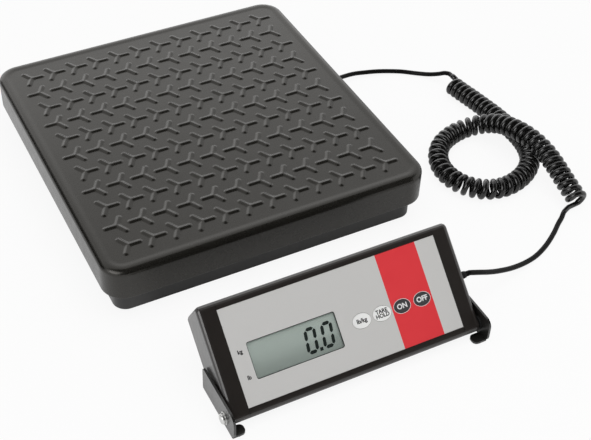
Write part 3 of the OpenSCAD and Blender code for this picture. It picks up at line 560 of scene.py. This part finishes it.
def face_box(node):
    """A node's lowest and highest corners in the display's own frame: right, up the face, out of it."""
    back = display_frame.inverted()
    corners = np.array([back @ v.co for v in frame["nodes"][node].data.vertices])
    return Vector(corners.min(0)), Vector(corners.max(0))


SEAM_WIDTH = 0.5 * MM
END_LINE_DEPTH = 9 * MM
END_LINE_WIDTH = 1.6 * MM
JACKET_BAND = 30 * MM
cap_low, cap_high = face_box("right_end_cap")
lacquer = Finish("housing_black_lacquer", Coat_Weight=0.5, Coat_Roughness=0.2)
across = lacquer.along(face_right, pivot)
aside = across.size()
from_seam = aside - cap_low.x
# A thin dark line with a groove bumped in runs across each end face, 9 mm behind the front.
from_end_line = lacquer.along(-inward, pivot) - (cap_high.z - END_LINE_DEPTH)
end_line = (from_end_line.size() < END_LINE_WIDTH / 2) * (aside > cap_high.x - SEAM_WIDTH)
seam = (from_seam.size() < SEAM_WIDTH / 2) + end_line
satin = lacquer.mix(lacquer.noise(40 * MM), ink(36, 32, 30), ink(42, 38, 35))
lacquer.coat(
    Base_Color=lacquer.mix(seam, satin, ink(8, 7, 7)),
    Roughness=0.26 + 0.1 * lacquer.noise(7 * MM))
lacquer.bump(0.1 * lacquer.noise(0.6 * MM, detail=2) - seam, 0.1 * MM)
lacquer.on(*(frame["nodes"][name] for name in (
    "display_housing", "left_end_cap", "right_end_cap", "battery_door")))
moulding("battery_box_black", ink(30, 30, 30), 0.5).on(
    frame["nodes"]["battery_box"], frame["nodes"]["key_switches"])
jacket = Finish("battery_jacket", Metallic=0.6, Roughness=0.35)
jacket_band = jacket.along((1, 0, 0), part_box("batteries")[0]) > JACKET_BAND
jacket.coat(Base_Color=jacket.mix(jacket_band, ink(168, 140, 62), ink(40, 40, 44)))
jacket.on(frame["nodes"]["batteries"])


# Liquid crystal: a grey-green reflective glass behind the window, which shows a reading in dark segments.
# The segments lean a little to the right and are etched inside the glass.

DIGIT_HEIGHT = 21.6 * MM
DIGIT_WIDTH = 10.8 * MM
DIGIT_PITCH = 15.2 * MM
DIGIT_FROM_MIDDLE = 29.5 * MM
DIGIT_DROP = 1.1 * MM
POINT_FROM_MIDDLE = 21.8 * MM
SEGMENT = 2.9 * MM
SEGMENT_GAP = 0.45 * MM
LEAN = math.tan(math.radians(7))
PRINT_LIFT = 0.02 * MM

window_low, window_high = face_box("display_window")
lcd_top = face_box("lcd_module")[1].z
crystal = Finish("liquid_crystal", Roughness=0.5, Specular_IOR_Level=0.3)
crystal.coat(Base_Color=crystal.mix(crystal.noise(25 * MM), ink(175, 187, 180), ink(181, 193, 186)))
crystal.bump(crystal.noise(0.3 * MM), 0.01 * MM)
crystal.on(frame["nodes"]["lcd_module"])


def on_face(x, y, z):
    """A point of the display's own frame in the row frame."""
    return display_frame @ Vector((x, y, z))


def face_plate(name, outlines, z, body, finish):
    """Flat printed shapes on the display, as outlines in the plane of the face."""
    points, faces = [], []
    for shape in outlines:
        faces.append(tuple(range(len(points), len(points) + len(shape))))
        points += [on_face(x, y, z) for x, y in shape]
    plate = show(name, points, faces, finish, smooth=False)
    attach(plate, body)
    return plate


def bar(x0, y0, x1, y1):
    """One segment with pointed ends between two points, across or up."""
    half = SEGMENT / 2
    if abs(x1 - x0) > abs(y1 - y0):
        return [(x0, y0), (x0 + half, y0 - half), (x1 - half, y1 - half),
                (x1, y1), (x1 - half, y1 + half), (x0 + half, y0 + half)]
    return [(x0, y0), (x0 + half, y0 + half), (x1 + half, y1 - half),
            (x1, y1), (x1 - half, y1 - half), (x0 - half, y0 + half)]


def zero(left, low):
    """The six outer segments of a digit."""
    w, h, g = DIGIT_WIDTH - SEGMENT, (DIGIT_HEIGHT - SEGMENT) / 2, SEGMENT_GAP
    x, y = left + SEGMENT / 2, low + SEGMENT / 2
    return [
        bar(x + g, y, x + w - g, y), bar(x + g, y + 2 * h, x + w - g, y + 2 * h),
        bar(x, y + g, x, y + h - g), bar(x, y + h + g, x, y + 2 * h - g),
        bar(x + w, y + g, x + w, y + h - g), bar(x + w, y + h + g, x + w, y + 2 * h - g),
    ]


window_middle = (window_low + window_high) / 2
digits_middle = window_middle.y - DIGIT_DROP
digits_low = digits_middle - DIGIT_HEIGHT / 2
last_digit = window_middle.x + DIGIT_FROM_MIDDLE - DIGIT_WIDTH / 2
point_left = window_middle.x + POINT_FROM_MIDDLE - SEGMENT / 2
reading = zero(last_digit, digits_low) + zero(last_digit - DIGIT_PITCH, digits_low) + [[
    (point_left, digits_low), (point_left + SEGMENT, digits_low),
    (point_left + SEGMENT, digits_low + SEGMENT), (point_left, digits_low + SEGMENT)]]
reading = [[(x + (y - digits_middle) * LEAN, y) for x, y in shape] for shape in reading]
# Dark ink of the segments, also used for the painted shade line round the window.
segment_and_shade_black = Finish("segment_and_shade_black", Specular_IOR_Level=0.2)
segment_and_shade_black.coat(
    Base_Color=segment_and_shade_black.mix(segment_and_shade_black.noise(3 * MM), ink(26, 34, 31), ink(32, 40, 37)),
    Roughness=0.5 + 0.1 * segment_and_shade_black.noise(1 * MM))
digits = face_plate("reading_segments", reading, lcd_top + PRINT_LIFT, "display", segment_and_shade_black)


# Window: a clear acrylic pane in the housing's front, over the liquid crystal.
# It sits on a ledge. The thin dark line drawn on its face along the ledge is painted shade, standing for the
# shaded wall of the recess round the window.

WINDOW_LEDGE = 1.9 * MM
WINDOW_CORNER = 2 * MM
WINDOW_SHADE_LINE = 0.55 * MM

pane = Finish("window_acrylic", Roughness=0.04, Alpha=0.06, Specular_IOR_Level=1.0)
pane.coat(Base_Color=pane.mix(pane.noise(20 * MM), ink(30, 34, 32), ink(38, 42, 40)))
pane.on(frame["nodes"]["display_window"])


def rounded_loop(low, high, radius, steps=6):
    """A rectangle with round corners in the plane of the face."""
    corners = ((high.x, high.y, 0), (low.x, high.y, 1), (low.x, low.y, 2), (high.x, low.y, 3))
    loop = []
    for x, y, quarter in corners:
        centre_x = x + radius * (-1 if quarter in (0, 3) else 1)
        centre_y = y + radius * (-1 if quarter in (0, 1) else 1)
        for k in range(steps + 1):
            a = (quarter + k / steps) * math.pi / 2
            loop.append((centre_x + radius * math.cos(a), centre_y + radius * math.sin(a)))
    return loop


def face_ring(name, outer, inner, z, body, finish):
    """A flat line between two loops of equal length, drawn on the face."""
    count = len(outer)
    points = [on_face(x, y, z) for x, y in outer + inner]
    faces = [(k, (k + 1) % count, count + (k + 1) % count, count + k) for k in range(count)]
    ring = show(name, points, faces, finish, smooth=False)
    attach(ring, body)
    return ring


# Painted shade: a dark ring round the window stands for the shaded wall of its recess.
ledge = Vector((WINDOW_LEDGE, WINDOW_LEDGE, 0))
line = Vector((WINDOW_SHADE_LINE, WINDOW_SHADE_LINE, 0))
edge = face_ring(
    "window_painted_shade", rounded_loop(window_low + ledge, window_high - ledge, WINDOW_CORNER),
    rounded_loop(window_low + ledge + line, window_high - ledge - line, WINDOW_CORNER - WINDOW_SHADE_LINE),
    window_high.z + PRINT_LIFT, "display", segment_and_shade_black)


# Front panel: a printed polyester film in the housing's recess, silver-grey with a broad red band behind
# the two right-hand keys, and small marks beside the window.

BAND_MARGIN = 2.2 * MM
MARK_HEIGHT = 3.3 * MM
CAPITAL_SHARE = 0.7
STROKE_GAIN = 0.05
LINE_SPACING = 0.82

band_left = face_box("on_key")[0].x - BAND_MARGIN
band_right = face_box("off_key")[1].x + BAND_MARGIN
film = Finish("panel_film", Specular_IOR_Level=0.35)
fleck = film.noise(0.5 * MM, detail=1)
silver = film.mix(fleck, ink(202, 201, 199), ink(209, 208, 206))
across = film.along(face_right, pivot)
band = (across > band_left) * (across < band_right)
red = film.mix(film.noise(20 * MM), ink(226, 52, 60), ink(232, 60, 66))
film.coat(Base_Color=film.mix(band, silver, red), Roughness=0.42 + 0.1 * film.noise(6 * MM))
film.bump(film.noise(0.8 * MM, detail=1), 0.01 * MM)
film.on(frame["nodes"]["front_panel"])

print_black = Finish("print_black", Specular_IOR_Level=0.3)
print_black.coat(
    Base_Color=print_black.mix(print_black.noise(2 * MM), ink(24, 24, 26), ink(34, 34, 36)),
    Roughness=0.5 + 0.1 * print_black.noise(1 * MM))


def lettering(name, words, x, y, z, height, body, finish):
    """Printed letters on the face, centred on a point, with capitals of that height."""
    text = bpy.data.curves.new(name, "FONT")
    text.body = words
    text.align_x, text.align_y = "CENTER", "CENTER"
    text.space_line = LINE_SPACING
    text.size = height / CAPITAL_SHARE
    text.offset = height * STROKE_GAIN
    maker = bpy.data.objects.new(name + "_type", text)
    bpy.context.scene.collection.objects.link(maker)
    mesh = bpy.data.meshes.new_from_object(maker.evaluated_get(bpy.context.evaluated_depsgraph_get()))
    bpy.data.objects.remove(maker)
    mesh.transform(display_frame @ Matrix.Translation((x, y, z)))
    letters = bpy.data.objects.new(name, mesh)
    bpy.context.scene.collection.objects.link(letters)
    finish.on(letters)
    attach(letters, body)
    return letters


mark_z = face_box("front_panel")[1].z + PRINT_LIFT
for words, across_by, up_by in (("kg", -47 * MM, 9.8 * MM), ("lb", -46 * MM, -11.8 * MM)):
    mark = lettering(
        "unit_mark_" + words, words, window_middle.x + across_by, window_middle.y + up_by, mark_z,
        MARK_HEIGHT, "display", print_black)


# Keys: oval silicone keys that come through the panel, two white ones for the units and the tare,
# and two dark grey ones for on and off, with their legends printed on top.

KEY_GAP = 0.3 * MM
RING_WIDTH = 0.35 * MM
RING_POINTS = 48

key_white = moulding("key_white", ink(232, 232, 230), 0.45, grain=0.4 * MM, relief=0.01 * MM)
key_dark = moulding("key_dark_grey", ink(62, 62, 64), 0.45, grain=0.4 * MM, relief=0.01 * MM)
print_white = Finish("print_white", Specular_IOR_Level=0.3)
print_white.coat(
    Base_Color=print_white.mix(print_white.noise(2 * MM), ink(226, 226, 226), ink(236, 236, 236)),
    Roughness=0.5 + 0.1 * print_white.noise(1 * MM))


def oval(middle, half, grow):
    """Points round a key, that far outside it."""
    angles = [k * math.tau / RING_POINTS for k in range(RING_POINTS)]
    return [
        (middle.x + (half.x + grow) * math.cos(a), middle.y + (half.y + grow) * math.sin(a)) for a in angles]


for key, words, height, finish, slot, legend in (
        ("units_key", "lb/kg", 3.5 * MM, key_white, "key_white", print_black),
        ("tare_key", "TARE\nHOLD", 3.2 * MM, key_white, "key_white", print_black),
        ("on_key", "ON", 4.2 * MM, key_dark, "key_dark", print_white),
        ("off_key", "OFF", 4.2 * MM, key_dark, "key_dark", print_white)):
    finish.on(frame["nodes"][key])
    low, high = face_box(key)
    middle, half = (low + high) / 2, (high - low) / 2
    letters = lettering(key + "_legend", words, middle.x, middle.y, high.z + PRINT_LIFT, height, key, legend)
    if finish is key_dark:
        outer, inner = oval(middle, half, KEY_GAP + RING_WIDTH), oval(middle, half, KEY_GAP)
        face_ring(key + "_ring", outer, inner, mark_z, "display", print_white)


# Floor: a pale studio floor that runs well past the picture, white to the camera and shaded by the object.
# In glossy rays its left side glows whiter than the rest, a painted reflection of a brightly lit floor there.

FLOOR_REACH = 6.0
WHITE_SHARE = 0.9
GLOSSY_SHARE = 0.18
LEFT_FROM, LEFT_TO = -0.1, -0.14

floor_finish = Finish("studio_floor", Roughness=0.9)
floor_finish.coat(
    Base_Color=floor_finish.mix(floor_finish.noise(0.4), ink(244, 244, 244), ink(248, 248, 248)))
camera_ray, glossy_ray, clear_ray = [
    floor_finish.node("ShaderNodeLightPath", output=name)
    for name in ("Is Camera Ray", "Is Glossy Ray", "Is Transmission Ray")]
# Painted reflection: towards the left the floor glows white in glossy rays.
painted_glow_left = floor_finish.node("ShaderNodeMapRange", {"interpolation_type": "SMOOTHSTEP"}, {
    "Value": floor_finish.along((1, 0, 0)), "From Min": LEFT_FROM, "From Max": LEFT_TO})
glow = floor_finish.node("ShaderNodeEmission", {}, {"Color": (1, 1, 1, 1)})
seen = WHITE_SHARE * camera_ray.math("MAXIMUM", camera_ray, clear_ray)
seen += glossy_ray * (GLOSSY_SHARE + (WHITE_SHARE - GLOSSY_SHARE) * painted_glow_left)
lit = floor_finish.node("ShaderNodeMixShader", {}, {
    0: seen, 1: Value(floor_finish, floor_finish.shader.outputs[0]), 2: glow})
floor_finish.feed(floor_finish.tree.nodes["Material Output"].inputs["Surface"], lit)
floor_corners = [(x * FLOOR_REACH, y * FLOOR_REACH, 0) for x, y in ((-1, -1), (1, -1), (1, 1), (-1, 1))]
floor = show("studio_floor", floor_corners, [(0, 1, 2, 3)], floor_finish)


# Light: a white room with a broad soft lamp overhead. Softboxes at the back and the left, and black cloth
# behind the camera, under the ceiling and at the back left, show only in what is glossy.

ROOM_LIGHT = 0.45

world = bpy.data.worlds.new("white_room")
bpy.context.scene.world = world
world.use_nodes = True
room = Nodes(world.node_tree)
sky = room.tree.nodes["Background"]
diffuse_ray = room.node("ShaderNodeLightPath", output="Is Diffuse Ray")
room.feed(sky.inputs["Color"], (1, 1, 1, 1))
room.feed(sky.inputs["Strength"], 1 - (1 - ROOM_LIGHT) * diffuse_ray)


def softbox(name, position, target, width, height, power):
    """A rectangular lamp that faces a point."""
    lamp = bpy.data.lights.new(name, "AREA")
    lamp.shape = "RECTANGLE"
    lamp.size, lamp.size_y = width, height
    lamp.energy = power
    obj = bpy.data.objects.new(name, lamp)
    obj.location = position
    obj.rotation_euler = (Vector(target) - Vector(position)).to_track_quat("-Z", "Y").to_euler()
    bpy.context.scene.collection.objects.link(obj)
    return obj


softbox("overhead_softbox", (0, -0.5, 2.2), (0, -0.1, 0), 2.4, 2, 26).visible_glossy = False
softbox("back_softbox", (0.4, 2.6, 0.95), (0, 0, 0.2), 4, 1.9, 20.5).visible_diffuse = False
softbox("key_softbox", (-1.28, -0.7, 1.08), (0.2, -0.03, 0), 1.2, 1.2, 13).visible_diffuse = False

cloth_finish = Finish("black_cloth", Roughness=0.9, Specular_IOR_Level=0.1)
cloth_finish.coat(Base_Color=cloth_finish.mix(cloth_finish.noise(0.2), ink(20, 20, 20), ink(26, 26, 26)))
cloth = show(
    "black_cloth", [
        (-2.5, -2.6, 0.5), (2.5, -2.6, 0.5), (2.5, -2.2, 2.4), (-2.5, -2.2, 2.4),
        (2.5, 0.5, 2.4), (-2.5, 0.5, 2.4),
        (-2.5, 0.5, 0), (-1.3, 2.4, 0), (-1.3, 2.4, 1.7), (-2.5, 0.5, 1.7)],
    [(0, 1, 2, 3), (3, 2, 4, 5), (6, 7, 8, 9)], cloth_finish, smooth=False)
cloth.visible_camera = cloth.visible_diffuse = cloth.visible_shadow = cloth.visible_transmission = False


# Camera: at the left of the display and above it, at the photograph's viewing angle and framing.
# Its lens is given in the picture's pixels, and its optical centre lies off the picture's middle.

AZIMUTH = math.radians(-25.94)
ELEVATION = math.radians(42.17)
ROLL = math.radians(0.38)
DISTANCE = 1.1272
AIM = Vector((0.0144, -0.0017, 0))
FOCAL_PIXELS = 1170.7
IMAGE_WIDTH, IMAGE_HEIGHT = 591, 440
OPTICAL_CENTRE = (250.0, 208.5)

towards = Vector((
    math.sin(AZIMUTH) * math.cos(ELEVATION), -math.cos(AZIMUTH) * math.cos(ELEVATION), math.sin(ELEVATION)))
level = Vector((0, 0, 1)).cross(towards).normalized()
upright = towards.cross(level)
right = math.cos(ROLL) * level + math.sin(ROLL) * upright
top = -math.sin(ROLL) * level + math.cos(ROLL) * upright
lens = bpy.data.cameras.new("camera")
lens.sensor_fit = "HORIZONTAL"
lens.lens = FOCAL_PIXELS / IMAGE_WIDTH * lens.sensor_width
lens.shift_x = 0.5 - OPTICAL_CENTRE[0] / IMAGE_WIDTH
lens.shift_y = (OPTICAL_CENTRE[1] - IMAGE_HEIGHT / 2) / IMAGE_WIDTH
camera = bpy.data.objects.new("camera", lens)
turned = Matrix((right, top, towards)).transposed().to_4x4()
camera.matrix_world = Matrix.Translation(AIM + DISTANCE * towards) @ turned
bpy.context.scene.collection.objects.link(camera)
bpy.context.scene.camera = camera
bpy.context.scene.view_settings.view_transform = "Standard"
